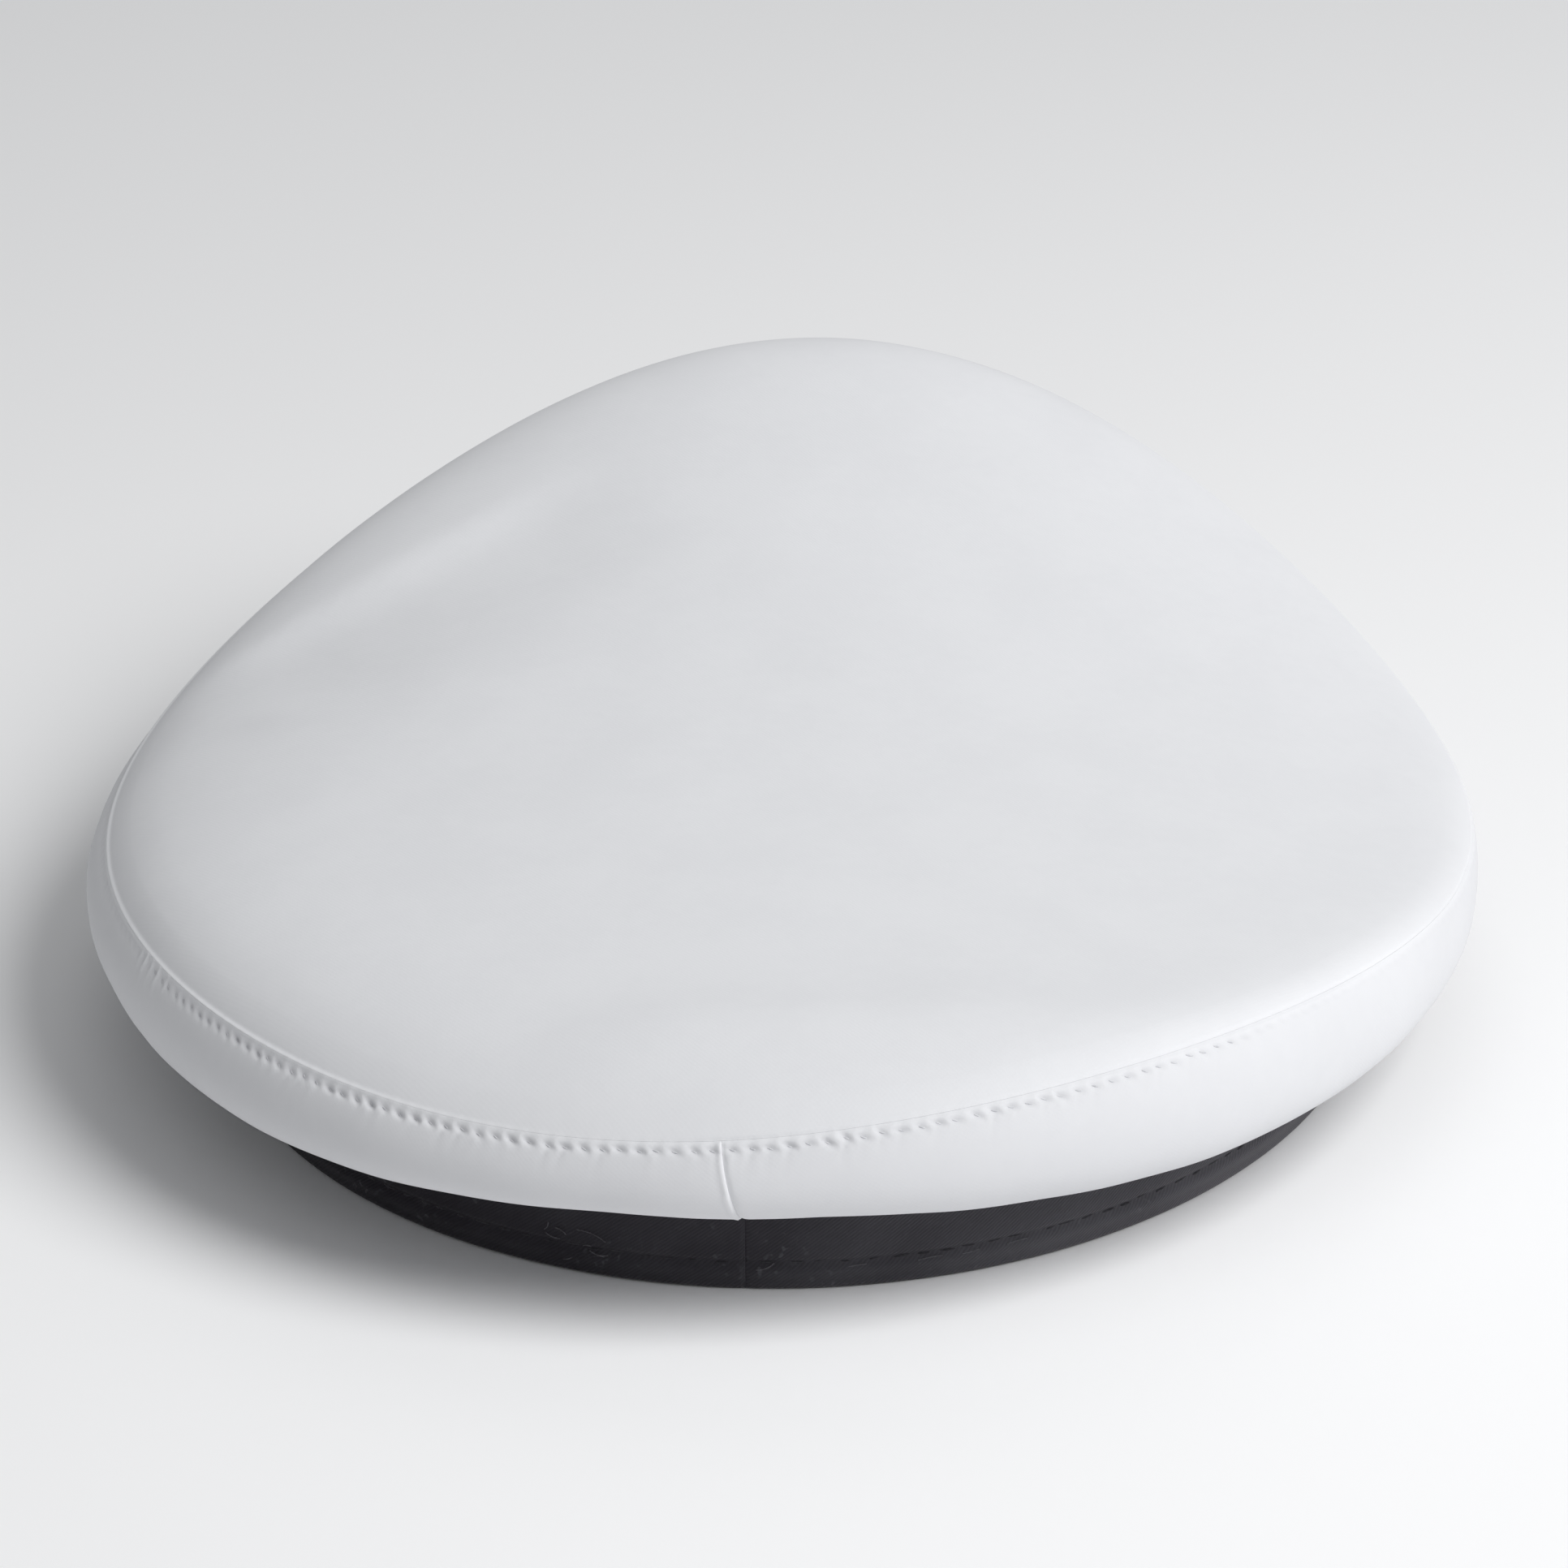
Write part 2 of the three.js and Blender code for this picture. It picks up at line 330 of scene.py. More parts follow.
class Wire:
    def __init__(self, tree, socket=None):
        self.tree = tree
        self.socket = socket

    def node(self, kind, settings, inputs, output=0):
        made = self.tree.nodes.new(kind)
        for name, value in settings.items():
            setattr(made, name, value)
        for name, value in inputs.items():
            target = self.find(made.inputs, name)
            if isinstance(value, Wire):
                self.tree.links.new(value.socket, target)
            else:
                target.default_value = value
        return Wire(self.tree, self.find(made.outputs, output))

    def find(self, sockets, name):
        shown = [socket for socket in sockets if socket.enabled]
        if isinstance(name, int):
            return shown[name]
        return next(socket for socket in shown if socket.name == name)

    def math(self, operation, *values):
        return self.node("ShaderNodeMath", {"operation": operation}, dict(enumerate(values)))

    def __add__(self, other):
        return self.math("ADD", self, other)

    def __sub__(self, other):
        return self.math("SUBTRACT", self, other)

    def __rsub__(self, other):
        return self.math("SUBTRACT", other, self)

    def __mul__(self, other):
        return self.math("MULTIPLY", self, other)

    def __truediv__(self, other):
        return self.math("DIVIDE", self, other)

    __radd__ = __add__
    __rmul__ = __mul__

    def sine(self):
        return self.math("SINE", self)

    def bell(self):
        return self.math("EXPONENT", -1 * self * self)

    def between(self, low, high):
        limits = {"Value": self, "From Min": low, "From Max": high}
        return self.node("ShaderNodeMapRange", {"interpolation_type": "SMOOTHSTEP"}, limits)

    def mix(self, first, second):
        colours = {"Factor": self, "A": first, "B": second}
        return self.node("ShaderNodeMix", {"data_type": "RGBA", "clamp_factor": True}, colours, "Result")

    def into(self, node, name):
        self.tree.links.new(self.socket, node.inputs[name])


def newFinish(name, constants):
    material = bpy.data.materials.new(name)
    material.use_nodes = True
    shader = material.node_tree.nodes["Principled BSDF"]
    for socket, value in constants.items():
        shader.inputs[socket].default_value = value
    return material, shader, Wire(material.node_tree)


def cloudy(wire, place, grain):
    scale, detail = grain
    return wire.node("ShaderNodeTexNoise", {}, {"Vector": place, "Scale": scale, "Detail": detail}, "Fac")


def addBumps(wire, shader, finish, height):
    bumps = {"Strength": finish["bumpStrength"], "Distance": finish["relief"], "Height": height}
    wire.node("ShaderNodeBump", {}, bumps, "Normal").into(shader, "Normal")


# A grain is the scale of a noise, per metre, and its detail. A range says where a soft step begins
# and ends.
crownFinish = {
    "steady": {"Sheen Weight": 0.12, "Sheen Roughness": 0.6, "Specular IOR Level": 0.25},
    "clean": (0.765, 0.77, 0.79, 1),
    "dull": (0.748, 0.753, 0.774, 1),
    # painted shade colour, mixed in by the paintedShade attribute
    "paintedShadeColour": (0.5, 0.5, 0.525, 1),
    "blotchGrain": (55, 3),
    "speckGrain": (420, 2),
    "speckShare": 0.3,
    "mottleRange": (0.35, 0.65),
    "roughness": 0.82,
    "roughnessSwing": 0.1,
    "threadPitch": 0.36 * mm,
    "weaveHeight": 0.3,         # as a share of the nap's
    "napGrain": (1600, 2),
    "relief": 0.03 * mm,
    "bumpStrength": 0.3,
}


def crownCloth():
    material, shader, wire = newFinish("crownCloth", crownFinish["steady"])
    place = wire.node("ShaderNodeTexCoord", {}, {}, "Object")
    run = wire.node("ShaderNodeUVMap", {"uv_map": "clothRun"}, {}, "UV")
    warp = wire.node("ShaderNodeSeparateXYZ", {}, {0: run}, "X")
    weft = wire.node("ShaderNodeSeparateXYZ", {}, {0: run}, "Y")
    turn = math.pi / crownFinish["threadPitch"]
    weave = (warp * turn).sine() * (weft * turn).sine()
    blotch = cloudy(wire, place, crownFinish["blotchGrain"])
    speck = cloudy(wire, place, crownFinish["speckGrain"])
    mottle = (1 - crownFinish["speckShare"]) * blotch + crownFinish["speckShare"] * speck
    # Painted shade: the cloth is darkened by the paintedShade attribute in needle holes, in creases, down
    # the side and in a darker patch on the top.
    paintedShade = wire.node("ShaderNodeAttribute", {"attribute_name": "paintedShade"}, {}, "Fac")
    cloth = mottle.between(*crownFinish["mottleRange"]).mix(crownFinish["dull"], crownFinish["clean"])
    paintedShade.mix(cloth, crownFinish["paintedShadeColour"]).into(shader, "Base Color")
    (crownFinish["roughness"] + crownFinish["roughnessSwing"] * mottle).into(shader, "Roughness")
    nap = cloudy(wire, place, crownFinish["napGrain"])
    addBumps(wire, shader, crownFinish, crownFinish["weaveHeight"] * weave + nap)
    return material


bandFinish = {
    "steady": {"Sheen Weight": 0.15, "Sheen Roughness": 0.45, "Specular IOR Level": 0.2},
    "deep": (0.0195, 0.017, 0.0225, 1),
    "fadedAndLit": (0.092, 0.0895, 0.1, 1),
    "lint": (0.12, 0.12, 0.13, 1),
    "wornGrain": (70, 4),
    "wornFade": 0.6,
    "paintedLightRight": 6.5,           # painted light: lighter per metre towards the wearer's right
    "twillFade": 0.05,
    "fadeAndLightRange": (-0.15, 1),
    "edgeHighlightWidth": 0.5 * mm,       # painted highlight along the left end of the strip
    "edgeHighlight": 0.3,
    "fluffGrain": (900, 1),
    "fluffRange": (0.6, 0.72),
    "patchGrain": (120, 2),
    "patchRange": (0.5, 0.7),
    "fluffStrength": 0.45,
    "roughness": 0.85,
    "roughnessSwing": 0.1,
    "twillPitch": 0.7 * mm,
    "twillSlope": 1.3,
    "twillHeight": 0.5,
    "napGrain": (1300, 2),
    "napHeight": 0.8,
    "relief": 0.08 * mm,
    "bumpStrength": 0.6,
}


def bandCloth():
    material, shader, wire = newFinish("bandCloth", bandFinish["steady"])
    place = wire.node("ShaderNodeTexCoord", {}, {}, "Object")
    run = wire.node("ShaderNodeUVMap", {"uv_map": "clothRun"}, {}, "UV")
    along = wire.node("ShaderNodeSeparateXYZ", {}, {0: run}, "X")
    rise = wire.node("ShaderNodeSeparateXYZ", {}, {0: run}, "Y")
    turn = 2 * math.pi / bandFinish["twillPitch"]
    twill = ((along + bandFinish["twillSlope"] * rise) * turn).sine()
    worn = cloudy(wire, place, bandFinish["wornGrain"])
    side = wire.node("ShaderNodeSeparateXYZ", {}, {0: place}, "X")
    # Painted light: the band is made lighter towards the wearer's right, where the key lamp stands, on top
    # of its worn mottle and twill.
    fadeAndLight = worn * bandFinish["wornFade"] - side * bandFinish["paintedLightRight"] + bandFinish["twillFade"] * twill
    fadeAndLight = fadeAndLight.between(*bandFinish["fadeAndLightRange"])
    fluff = cloudy(wire, place, bandFinish["fluffGrain"]).between(*bandFinish["fluffRange"])
    fluff = fluff * cloudy(wire, place, bandFinish["patchGrain"]).between(*bandFinish["patchRange"])
    # Painted highlight: a lighter line along the strip's left end.
    edge = (along / bandFinish["edgeHighlightWidth"]).bell()
    cloth = (fadeAndLight + bandFinish["edgeHighlight"] * edge).mix(bandFinish["deep"], bandFinish["fadedAndLit"])
    linted = (bandFinish["fluffStrength"] * fluff).mix(cloth, bandFinish["lint"])
    linted.into(shader, "Base Color")
    (bandFinish["roughness"] + bandFinish["roughnessSwing"] * worn).into(shader, "Roughness")
    nap = cloudy(wire, place, bandFinish["napGrain"])
    height = bandFinish["twillHeight"] * twill + bandFinish["napHeight"] * nap
    addBumps(wire, shader, bandFinish, height)
    return material


threadLook = {
    "steady": {"Sheen Weight": 0.1, "Specular IOR Level": 0.3},
    "twistGrain": (2200, 2),
    "twistRange": (0.35, 0.65),
    "roughness": 0.6,
    "roughnessSwing": 0.2,
    "relief": 0.05 * mm,
    "bumpStrength": 0.5,
}


def threadFinish(name, pale, dark):
    material, shader, wire = newFinish(name, threadLook["steady"])
    place = wire.node("ShaderNodeTexCoord", {}, {}, "Object")
    twist = cloudy(wire, place, threadLook["twistGrain"])
    twist.between(*threadLook["twistRange"]).mix(dark, pale).into(shader, "Base Color")
    (threadLook["roughness"] + threadLook["roughnessSwing"] * twist).into(shader, "Roughness")
    addBumps(wire, shader, threadLook, twist)
    return material


crownMaterial = crownCloth()
bandMaterial = bandCloth()
# Painted shade: the white thread is coloured darker than the white cloth, as it lies in the needle holes.
shadedWhiteThread = threadFinish("shadedWhiteThread", (0.64, 0.645, 0.665, 1), (0.54, 0.545, 0.57, 1))
darkThread = threadFinish("darkThread", (0.034, 0.032, 0.039, 1), (0.017, 0.016, 0.02, 1))
paleFibre = threadFinish("paleFibre", (0.12, 0.118, 0.13, 1), (0.07, 0.068, 0.076, 1))
print("finishes made")

# The rim seam, shared by top and side

rimSeam = {
    "stitches": 285,
    "stitchDrop": 1.15 * mm,    # the stitched line below the fold
    "dropSwing": 0.2 * mm,      # and how much more behind on the left
    "lowestAt": math.radians(25),
    "alongLuck": 0.06,
    "dropLuck": 0.08 * mm,
    "holeLong": 0.95 * mm,
    "holeShort": 0.42 * mm,
    "holeDepth": 0.34 * mm,
    "depthLuck": 0.2,
    "depthRange": (0.5, 1.5),
    "holeSlant": math.radians(26),
    "slantLuck": 0.3,
    # painted shade in the needle holes, and at creaseShade in the creases below them
    "holeShade": 0.4,
    "pull": 0.08 * mm,
    "pullWidth": 0.6 * mm,
    "puff": 0.1 * mm,
    "puffWidth": 0.9 * mm,
    "puffPlace": 0.6,           # share of the way from the fold to the stitches
    "crease": 0.2 * mm,
    "creaseWidth": 0.45 * mm,
    "creaseLean": 0.35,
    "creaseStart": 1 * mm,      # below the stitches
    "creaseFade": 2.2 * mm,
    "creaseRange": (-1, 1.5),
    "creaseShade": 0.2,
    "puckerStart": 0.5 * mm,    # below the fold
    "weltWidth": 0.4 * mm,
    "lineWidth": 0.35 * mm,
    "leastPull": 0.3,           # a weaker stitch doesn't show
    "seed": 7,
}

# Degrees as above: height of the welt along the fold and depth of the soft line that it fades into,
# in millimetres, and how strongly the stitches pull.
seamRows = {
    0: (0, 0.2, 0.9),
    4: (0.02, 0.08, 0.95),
    12: (0.05, 0.03, 1),
    22: (0.14, 0, 1),
    35: (0.26, 0, 0.95),
    48: (0.3, 0, 0.8),
    58: (0.3, 0, 0.2),
    110: (0.28, 0, 0.15),
    150: (0.15, 0.03, 0.7),
    210: (0.1, 0.05, 0.7),
    250: (0, 0.1, 0.1),
    277: (0, 0.2, 0.1),
    281: (0, 0.3, 0.1),
    285: (0, 0.12, 0.1),
    291: (0, 0.03, 0.1),
    300: (0, 0.17, 0.12),
    310: (0, 0.25, 0.15),
    325: (0, 0.22, 0.4),
    335: (0, 0.14, 0.7),
    350: (0, 0.12, 0.9),
    355: (0, 0.2, 0.9),
}

# Small puckers below the fold where the stitching begins: degrees as above, height, half width and
# length in millimetres.
puckerRows = (
    (58.4, 0.2, 0.36, 2.6),
    (57.3, 0.3, 0.4, 3.6),
    (56.1, 0.24, 0.36, 3.0),
    (54.8, 0.26, 0.38, 3.4),
    (53.2, 0.16, 0.34, 2.4),
)

stitchPitch = rimLength / rimSeam["stitches"]
# For each stitch: luck along the seam, down from it, in slant, in depth and in the crease below.
stitchLuck = np.random.default_rng(rimSeam["seed"]).normal(size=(rimSeam["stitches"] + 1, 5))


def seamProfile(angle):
    columns = zip(*seamRows.values())
    return [np.interp(np.degrees(angle), list(seamRows), column, period=360) for column in columns]


def stitchPhase(run):
    phase = run / stitchPitch
    number = np.clip(np.floor(phase), 0, rimSeam["stitches"]).astype(int)
    return number, phase - number - 0.5


def stitchDrop(angle):
    return rimSeam["stitchDrop"] + rimSeam["dropSwing"] * np.cos(angle - rimSeam["lowestAt"])


def seamRelief(run, below):
    # below is the cloth length below the fold, and is negative on the top
    number, offset = stitchPhase(run)
    alongLuck, dropLuck, slantLuck, depthLuck, creaseLuck = np.moveaxis(stitchLuck[number], -1, 0)
    angle = angleAt(run)
    welt, line, pull = seamProfile(angle)
    along = (offset - rimSeam["alongLuck"] * alongLuck) * stitchPitch
    fromLine = below - stitchDrop(angle) - rimSeam["dropLuck"] * dropLuck
    slant = rimSeam["holeSlant"] * (1 + rimSeam["slantLuck"] * slantLuck)
    long = fromLine * np.sin(slant) - along * np.cos(slant)
    short = fromLine * np.cos(slant) + along * np.sin(slant)
    hole = hump(long, rimSeam["holeLong"]) * hump(short, rimSeam["holeShort"])
    hole = pull * hole * np.clip(1 + rimSeam["depthLuck"] * depthLuck, *rimSeam["depthRange"])
    fromPuff = below - rimSeam["puffPlace"] * stitchDrop(angle)
    puff = pull * np.sin(math.pi * offset) ** 2 * hump(fromPuff, rimSeam["puffWidth"])
    trail = np.clip(fromLine / rimSeam["creaseStart"], 0, 1)
    trail = trail * np.exp(-np.abs(below) / rimSeam["creaseFade"])
    crease = pull * np.clip(creaseLuck, *rimSeam["creaseRange"])
    crease = crease * hump(along - rimSeam["creaseLean"] * fromLine, rimSeam["creaseWidth"]) * trail
    relief = welt * mm * hump(below, rimSeam["weltWidth"]) - line * mm * hump(below, rimSeam["lineWidth"])
    relief = relief + rimSeam["puff"] * puff - rimSeam["holeDepth"] * hole - rimSeam["crease"] * crease
    relief = relief - rimSeam["pull"] * pull * hump(fromLine, rimSeam["pullWidth"])
    started = np.clip(below / rimSeam["puckerStart"], 0, 1)
    for around, height, halfWidth, length in puckerRows:
        aside = run - runAt(math.radians(around))
        pucker = hump(aside, halfWidth * mm) * hump(below, length * mm) * started
        relief = relief + height * mm * pucker
    # Painted shade: the needle holes and the creases below them are darkened.
    paintedShade = np.clip(rimSeam["holeShade"] * hole + rimSeam["creaseShade"] * np.clip(crease, 0, 1), 0, 1)
    return relief, paintedShade


# The white top

crownTop = {
    "ringCounts": ((0.12, 32), (0.24, 64), (0.5, 128), (0.87, 256), (1, 512)),
    "rings": 42,
    "edgeZone": 6 * mm,
    "edgeSteps": {
        1024: (6, 5.2, 4.5, 3.8, 3.2, 2.7),
        2048: (2.2, 1.8, 1.5, 1.25, 1.05, 0.87, 0.7, 0.55, 0.41, 0.28, 0.16, 0.07, 0),
    },
    "cutShares": (0.4, 1),      # rows across the cut edge, from the outside in
    "insideRings": (0.97, 0.9, 0.8, 0.68, 0.54, 0.4, 0.25, 0.12),
    "slack": 0.22 * mm,
    "slackSize": 26 * mm,
    "slackSeed": 3.7,
    "fineSlack": 0.3,           # as a share of the slack
    "fineSlackSize": 10.4 * mm,
    "fineSlackSeed": 9.1,
    "calmEdge": 12 * mm,
    "darkPatch": (79 * mm, 1 * mm),    # its place in x and y
    "darkPatchSize": 5 * mm,
    "darkPatchTone": 0.16,
}


def topSpeed(angle):
    # cloth length for each share of the reach, at the rim
    step = capForm["slopeStep"]
    ones = np.ones_like(angle)
    return np.linalg.norm(topPoint(angle, ones) - topPoint(angle, ones - step), axis=-1) / step


def ringAngles(count):
    return angleAt(np.arange(count) * rimLength / count)


def topOuter(angle, reach):
    points = topPoint(angle, reach)
    toEdge = (1 - reach) * topSpeed(angle)
    relief, paintedShade = seamRelief(runAt(angle - capForm["sideSeamLean"]), -toEdge)
    slack = ripple(points, crownTop["slackSize"], crownTop["slackSeed"])
    fineSlack = ripple(points, crownTop["fineSlackSize"], crownTop["fineSlackSeed"])
    slack = slack + crownTop["fineSlack"] * fineSlack
    relief = relief + crownTop["slack"] * slack * np.clip(toEdge / crownTop["calmEdge"], 0, 1)
    # A darker patch on the top goes into the same attribute as the painted shade.
    darkPatch = hump(np.linalg.norm(points[:, :2] - crownTop["darkPatch"], axis=1), crownTop["darkPatchSize"])
    paintedShade = paintedShade + crownTop["darkPatchTone"] * darkPatch
    normals = seamNormal(topPoint, angle, reach, toEdge)
    return clothRow(points + normals * relief[:, None], points[:, :2], paintedShade)


def ringCount(share):
    return next(count for limit, count in crownTop["ringCounts"] if share <= limit)


def makeCrownTop():
    middle = topPoint(np.zeros(1), np.zeros(1))
    rows = [clothRow(middle, middle[:, :2])]
    for ring in range(1, crownTop["rings"]):
        share = ring / crownTop["rings"]
        angle = ringAngles(ringCount(share))
        rows.append(topOuter(angle, share * (1 - crownTop["edgeZone"] / topSpeed(angle))))
    for count, steps in crownTop["edgeSteps"].items():
        angle = ringAngles(count)
        for step in steps:
            rows.append(topOuter(angle, 1 - step * mm / topSpeed(angle)))
    edge = rows[-1]["points"]
    for depth in crownTop["cutShares"]:
        rows.append(clothRow(edge + depth * rimCut(angle), edge[:, :2]))
    for share in crownTop["insideRings"]:
        last = len(rows[-1]["points"])
        count = max(min(ringCount(share), last), last // 2)
        angle = ringAngles(count)
        reach = np.full(count, share)
        points = topPoint(angle, reach) - outwardNormal(topPoint, angle, reach) * capForm["clothWall"]
        rows.append(clothRow(points, points[:, :2]))
    under = middle - np.array((0, 0, capForm["clothWall"]))
    rows.append(clothRow(under, under[:, :2]))
    return clothMesh("crownTop", rows, True)


topPiece = linkPiece("crownTop", makeCrownTop(), crownMaterial)
print("crown top:", len(topPiece.data.polygons), "faces")

# The white side

crownSide = {
    "columns": 2560,
    "endColumns": 16,
    "endZone": 2 * mm,
    "seamDrops": (
        0, 0.07, 0.16, 0.28, 0.41, 0.55, 0.7, 0.85, 1,
        1.14, 1.28, 1.42, 1.56, 1.7, 1.85, 2.02, 2.22, 2.5,
    ),
    "creaseDrops": (2.9, 3.4, 4, 4.7, 5.6, 6.8),
    "plainRows": 20,
    "insideShares": (0.94, 0.8, 0.64, 0.48, 0.32, 0.18, 0.08),
    "cutShares": (1, 0.7, 0.4),     # rows across the cut edge, from the inside out
    "measureSteps": 160,
    "leftEndWelt": 0.13 * mm,
    "leftEndRound": 0.3 * mm,
    "rightEndSink": 0.2 * mm,
    "endSoft": 0.4 * mm,
    "endStart": 0.8 * mm,       # below the fold
    "endLeast": 0.1,
    "slack": 0.2 * mm,
    "slackSize": 15 * mm,
    "slackSeed": 5.3,
    "calmRim": 6 * mm,
    "calmHem": 5 * mm,
    "paintedShade": 0.15,
    "shadeFade": 1.5 * mm,       # painted shade on the side reaches full strength this far below the fold
}

sideRuns = endedRuns(rimLength, crownSide["columns"], crownSide["endColumns"], crownSide["endZone"])
sideTimes = np.linspace(0, 1, crownSide["measureSteps"] + 1)


def seamLean(time):
    return capForm["sideSeamLean"] * (1 - time) * (1 - capForm["sideSeamSwing"] * time**2)


def sideLengths():
    angle = angleAt(sideRuns)[:, None] + seamLean(sideTimes)
    points = sidePoint(angle, np.broadcast_to(sideTimes, angle.shape))
    steps = np.linalg.norm(np.diff(points, axis=1), axis=2)
    return np.concatenate((np.zeros((len(sideRuns), 1)), np.cumsum(steps, axis=1)), axis=1)


sideMeasure = sideLengths()
sideDepths = sideMeasure[:, -1]


def sideAt(columns, drop):
    # the place on the bare outer face at a cloth length below the seam
    lengths = sideMeasure[columns]
    time = np.array([np.interp(down, row, sideTimes) for down, row in zip(drop, lengths)])
    return angleAt(sideRuns[columns]) + seamLean(time), time


def backSeamRelief(run, drop):
    # the left end laps over the right one and shows as a raised edge
    soft = crownSide["endSoft"]
    left = crownSide["leftEndWelt"] * hump(run - soft, soft) + roundedEdge(run, crownSide["leftEndRound"])
    right = -crownSide["rightEndSink"] * hump(rimLength - run, soft)
    return (left + right) * np.clip(drop / crownSide["endStart"], crownSide["endLeast"], 1)


def sideOuter(columns, drop):
    angle, time = sideAt(columns, drop + capForm["seamGap"])
    points = sidePoint(angle, time)
    run = sideRuns[columns]
    relief, paintedShade = seamRelief(run, drop)
    fromHem = sideDepths[columns] - drop
    calm = np.clip(drop / crownSide["calmRim"], 0, 1) * np.clip(fromHem / crownSide["calmHem"], 0, 1)
    slack = ripple(points, crownSide["slackSize"], crownSide["slackSeed"])
    relief = relief + crownSide["slack"] * slack * calm
    relief = relief + backSeamRelief(run, drop)
    # Painted shade: the side is darkened from the fold downwards.
    paintedShade = paintedShade + crownSide["paintedShade"] * np.clip(drop / crownSide["shadeFade"], 0, 1)
    normals = seamNormal(sidePoint, angle, time, drop)
    return clothRow(points + normals * relief[:, None], np.stack((run, drop), axis=1), paintedShade)


def makeCrownSide():
    fine = np.arange(crownSide["columns"] + 1)
    middling, coarse = fine[::2], fine[::4]
    rows = []
    for columns, drops in ((fine, crownSide["seamDrops"]), (middling, crownSide["creaseDrops"])):
        for drop in drops:
            rows.append(sideOuter(columns, np.full(len(columns), drop * mm)))
    lastCrease = crownSide["creaseDrops"][-1] * mm
    depths = sideDepths[coarse]
    for row in range(1, crownSide["plainRows"] + 1):
        share = row / crownSide["plainRows"]
        rows.append(sideOuter(coarse, lastCrease + share * (depths - capForm["seamGap"] - lastCrease)))
    angle = angleAt(sideRuns[coarse])
    lap = np.full(len(coarse), -capForm["hemLap"])
    hem = capForm["bandHeight"] + capForm["seamGap"]
    for height in (hem, hem + capForm["clothWall"]):
        rows.append(clothRow(bandPoint(angle, lap, height), np.stack((sideRuns[coarse], lap), axis=1)))
    for share in crownSide["insideShares"]:
        angle, time = sideAt(coarse, share * depths)
        points = sidePoint(angle, time) - outwardNormal(sidePoint, angle, time) * capForm["clothWall"]
        rows.append(clothRow(points, np.stack((sideRuns[coarse], share * depths), axis=1)))
    for columns, depth in zip((coarse, middling, fine), crownSide["cutShares"]):
        angle, time = sideAt(columns, np.full(len(columns), capForm["seamGap"]))
        points = sidePoint(angle, time) + depth * rimCut(angle)
        rows.append(clothRow(points, np.stack((sideRuns[columns], 0 * angle), axis=1)))
    return clothMesh("crownSide", rows, False)


sidePiece = linkPiece("crownSide", makeCrownSide(), crownMaterial)
print("crown side:", len(sidePiece.data.polygons), "faces")

# Trees that grow a mesh

def shapeTree(name, sizes):
    tree = bpy.data.node_groups.new(name, "GeometryNodeTree")
    tree.interface.new_socket("Geometry", in_out="OUTPUT", socket_type="NodeSocketGeometry")
    tree.interface.new_socket("Geometry", in_out="INPUT", socket_type="NodeSocketGeometry")
    kinds = {int: "NodeSocketInt", float: "NodeSocketFloat"}
    for label, value in sizes.items():
        kind = kinds.get(type(value), "NodeSocketMaterial")
        tree.interface.new_socket(label, in_out="INPUT", socket_type=kind)
    given = tree.nodes.new("NodeGroupInput")
    wires = {socket.name: Wire(tree, socket) for socket in given.outputs if socket.name}
    return Wire(tree), wires


def endTree(wire, geometry, material):
    whole = wire.node("GeometryNodeRealizeInstances", {}, {"Geometry": geometry})
    smooth = wire.node("GeometryNodeSetShadeSmooth", {}, {"Geometry": whole})
    painted = wire.node("GeometryNodeSetMaterial", {}, {"Geometry": smooth, "Material": material})
    painted.into(wire.tree.nodes.new("NodeGroupOutput"), "Geometry")
    return wire.tree


def growPiece(name, base, tree, sizes):
    piece = bpy.data.objects.new(name, base)
    modifier = piece.modifiers.new("shape", "NODES")
    modifier.node_group = tree
    for item in tree.interface.items_tree:
        if item.name in sizes:
            modifier[item.identifier] = sizes[item.name]
    bpy.context.scene.collection.objects.link(piece)
    graph = bpy.context.evaluated_depsgraph_get()
    grown = piece.evaluated_get(graph)
    mesh = bpy.data.meshes.new_from_object(grown, preserve_all_data_layers=True, depsgraph=graph)
    piece.modifiers.remove(modifier)
    piece.data = mesh
    return piece


def attributeWire(wire, name, kind):
    return wire.node("GeometryNodeInputNamedAttribute", {"data_type": kind}, {"Name": name}, "Attribute")


# The dark band, a rounded strip swept along its oval

bandStrip = {
    "columns": 640,
    "endColumns": 14,
    "endZone": 2.2 * mm,
    "stitches": 172,
    "alongLuck": 0.1,
    "heightLuck": 0.12 * mm,
    "threadSink": 0.35 * mm,
    "seed": 5,
    "cornerSteps": 4,
    "outsideRange": (0.35, 0.9),    # how squarely a face looks outwards
    "slackDetail": 1.0,
}
bandSizes = {
    "Height": capForm["bandHeight"],
    "Wall": capForm["bandWall"],
    "Edge Round": 0.7 * mm,
    "Profile Step": 0.45 * mm,
    "Stitch Height": 4.0 * mm,
    "Groove Depth": 0.45 * mm,
    "Groove Width": 0.45 * mm,
    "Lip Height": 0.3 * mm,
    "Lip Below": 1.1 * mm,
    "End Round": 0.45 * mm,
    "Slack": 0.35 * mm,
    "Slack Scale": 70.0,
    "Material": bandMaterial,
}

bandAngles = np.linspace(0, 2 * math.pi, capForm["ovalSteps"] + 1)
bandSteps = np.linalg.norm(np.diff(bandPoint(bandAngles, 0 * bandAngles, 0.0), axis=0), axis=1)
bandRuns = np.concatenate(([0], np.cumsum(bandSteps)))
bandLength = bandRuns[-1]


